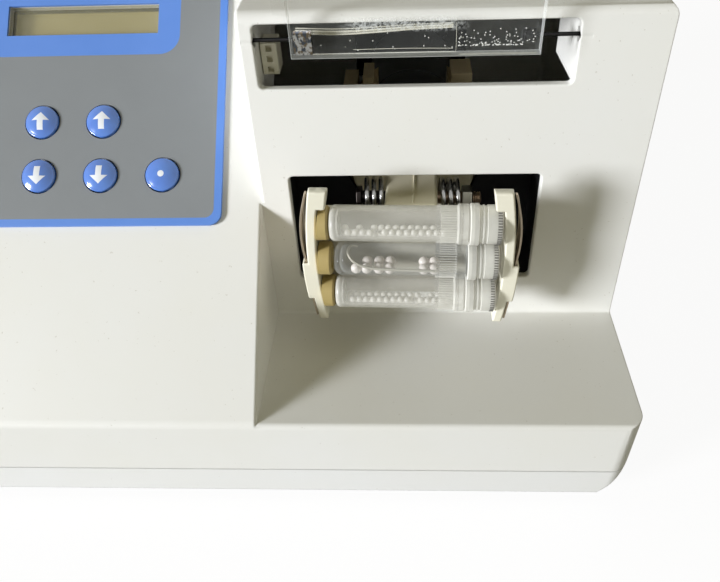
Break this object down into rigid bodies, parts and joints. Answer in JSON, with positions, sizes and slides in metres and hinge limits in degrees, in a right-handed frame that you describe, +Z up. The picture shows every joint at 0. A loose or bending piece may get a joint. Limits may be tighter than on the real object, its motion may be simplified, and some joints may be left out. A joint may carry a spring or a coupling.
{
  "type": "microtube homogenizer",
  "caption": "Bench-top bead homogenizer: sloped keypad beside an upright tower, a spring-held shaker arm that carries screw-cap microtubes over a shelf, and a hinged clear lid.",
  "frame": {"origin": "on the ground, under the middle of the whole object with its lid standing open", "axes": "+X to the viewer's right as the keypad faces the viewer, +Y to the back, +Z up"},
  "size_m": [0.235, 0.2336, 0.1802],
  "materials": {
    "casing": "smooth moulded, semi-gloss",
    "tray": "smooth moulded, semi-gloss",
    "rubber": "matt",
    "steel": "bright zinc",
    "spring_steel": "polished wire",
    "black_plastic": "fine matt",
    "overlay": "printed film with a blue border",
    "key_blue": "glossy domed film",
    "display": "yellow-green display glass",
    "clear_window": "clear, flush",
    "board": "green board",
    "cream": "ivory moulded",
    "beige": "machined beige plastic",
    "tan": "tan moulded",
    "motor_black": "satin black",
    "bolt_brass": "dull",
    "clear_acrylic": "clear, polished faces",
    "clear_tube": "clear moulded",
    "frosted_tube": "frosted, milky",
    "bead": "white ceramic beads"
  },
  "bodies": {
    "casing": {"upper_housing": "casing", "base_tray": "tray", "foot_1": "rubber", "foot_2": "rubber", "foot_3": "rubber", "foot_4": "rubber", "case_screw_1": "steel", "case_screw_2": "steel", "case_screw_3": "steel", "case_screw_4": "steel", "membrane_overlay": "overlay", "lcd_window": "clear_window", "lcd_module": "display", "control_board": "board", "power_inlet": "black_plastic", "fuse_holder": "black_plastic", "switch_frame": "black_plastic", "power_supply": "steel", "chamber_liner": "black_plastic", "motor_bracket": "beige", "motor_can": "motor_black", "interlock_sensor": "cream"},
    "lid": {"lid_hood": "clear_acrylic", "lid_hinge_bar": "clear_acrylic", "lid_magnet": "spring_steel", "hinge_pin_left": "steel", "hinge_pin_right": "steel"},
    "rotor": {"motor_shaft": "steel", "wobble_hub": "steel", "motor_fan": "black_plastic"},
    "arm": {"shaker_arm": "cream", "hub_bearing": "steel", "cross_bolt": "bolt_brass", "cross_bolt_nut": "steel", "spring_left": "spring_steel", "spring_right": "spring_steel", "holder_bridge": "cream"},
    "plate_left": {"holder_plate_left": "cream", "clip_strip_left": "steel", "tube_plug_1": "tan", "tube_plug_2": "tan", "tube_plug_3": "tan"},
    "plate_right": {"holder_plate_right": "cream", "clip_strip_right": "steel"},
    "rocker": {"switch_rocker": "black_plastic"},
    "sample_1": {"tube_1": "frosted_tube", "bead_bed_1": "bead"},
    "cap_1": {"tube_cap_1": "frosted_tube"},
    "sample_2": {"tube_2": "clear_tube", "bead_bed_2": "bead"},
    "cap_2": {"tube_cap_2": "frosted_tube"},
    "sample_3": {"tube_3": "frosted_tube", "bead_bed_3": "bead"},
    "cap_3": {"tube_cap_3": "frosted_tube"},
    "key_speed_up": {"button_speed_up": "key_blue"},
    "key_speed_down": {"button_speed_down": "key_blue"},
    "key_timer_up": {"button_timer_up": "key_blue"},
    "key_timer_down": {"button_timer_down": "key_blue"},
    "key_start": {"button_start": "key_blue"}
  },
  "joints": [
    {"name": "lid_hinge", "type": "hinge", "parent": "casing", "child": "lid", "pos_m": [0.0502, -0.02522, 0.1322], "axis": [1, 0, 0], "range_deg": [0, 90]},
    {"name": "motor_turn", "type": "hinge", "parent": "casing", "child": "rotor", "pos_m": [0.0502, -0.00848, 0.08], "axis": [0, 1, 0], "continuous": true},
    {"name": "arm_rock", "type": "hinge", "parent": "casing", "child": "arm", "pos_m": [0.0502, -0.00148, 0.08], "axis": [1, 0, 0], "range_deg": [-3, 3], "stiffness_Nm_per_rad": 10},
    {"name": "plate_left_flex", "type": "hinge", "parent": "arm", "child": "plate_left", "pos_m": [0.02112, -0.04179, 0.0725], "axis": [0, 0, -1], "range_deg": [0, 5], "stiffness_Nm_per_rad": 0.3},
    {"name": "plate_right_flex", "type": "hinge", "parent": "arm", "child": "plate_right", "pos_m": [0.07669, -0.04353, 0.0725], "axis": [0, 0, 1], "range_deg": [0, 5], "stiffness_Nm_per_rad": 0.3},
    {"name": "switch_rock", "type": "hinge", "parent": "casing", "child": "rocker", "pos_m": [-0.0395, 0.11532, 0.044], "axis": [1, 0, 0], "range_deg": [0, 10]},
    {"name": "tube_1_out", "type": "slide", "parent": "arm", "child": "sample_1", "axis": [-0.0314, -0.9995, 0], "range_m": [0, 0.013]},
    {"name": "cap_1_turn", "type": "hinge", "parent": "sample_1", "child": "cap_1", "pos_m": [0.06825, -0.04627, 0.0858], "axis": [0.9995, -0.0314, 0], "range_deg": [0, 540]},
    {"name": "tube_2_out", "type": "slide", "parent": "arm", "child": "sample_2", "axis": [-0.0314, -0.9995, 0], "range_m": [0, 0.013]},
    {"name": "cap_2_turn", "type": "hinge", "parent": "sample_2", "child": "cap_2", "pos_m": [0.06825, -0.04627, 0.0725], "axis": [0.9995, -0.0314, 0], "range_deg": [0, 540]},
    {"name": "tube_3_out", "type": "slide", "parent": "arm", "child": "sample_3", "axis": [-0.0314, -0.9995, 0], "range_m": [0, 0.013]},
    {"name": "cap_3_turn", "type": "hinge", "parent": "sample_3", "child": "cap_3", "pos_m": [0.06825, -0.04627, 0.0592], "axis": [0.9995, -0.0314, 0], "range_deg": [0, 540]},
    {"name": "press_speed_up", "type": "slide", "parent": "casing", "child": "key_speed_up", "axis": [0, 0.6521, -0.7581], "range_m": [0, 0.0006], "stiffness_N_per_m": 500},
    {"name": "press_speed_down", "type": "slide", "parent": "casing", "child": "key_speed_down", "axis": [0, 0.6521, -0.7581], "range_m": [0, 0.0006], "stiffness_N_per_m": 500},
    {"name": "press_timer_up", "type": "slide", "parent": "casing", "child": "key_timer_up", "axis": [0, 0.6521, -0.7581], "range_m": [0, 0.0006], "stiffness_N_per_m": 500},
    {"name": "press_timer_down", "type": "slide", "parent": "casing", "child": "key_timer_down", "axis": [0, 0.6521, -0.7581], "range_m": [0, 0.0006], "stiffness_N_per_m": 500},
    {"name": "press_start", "type": "slide", "parent": "casing", "child": "key_start", "axis": [0, 0.6521, -0.7581], "range_m": [0, 0.0006], "stiffness_N_per_m": 500}
  ]
}
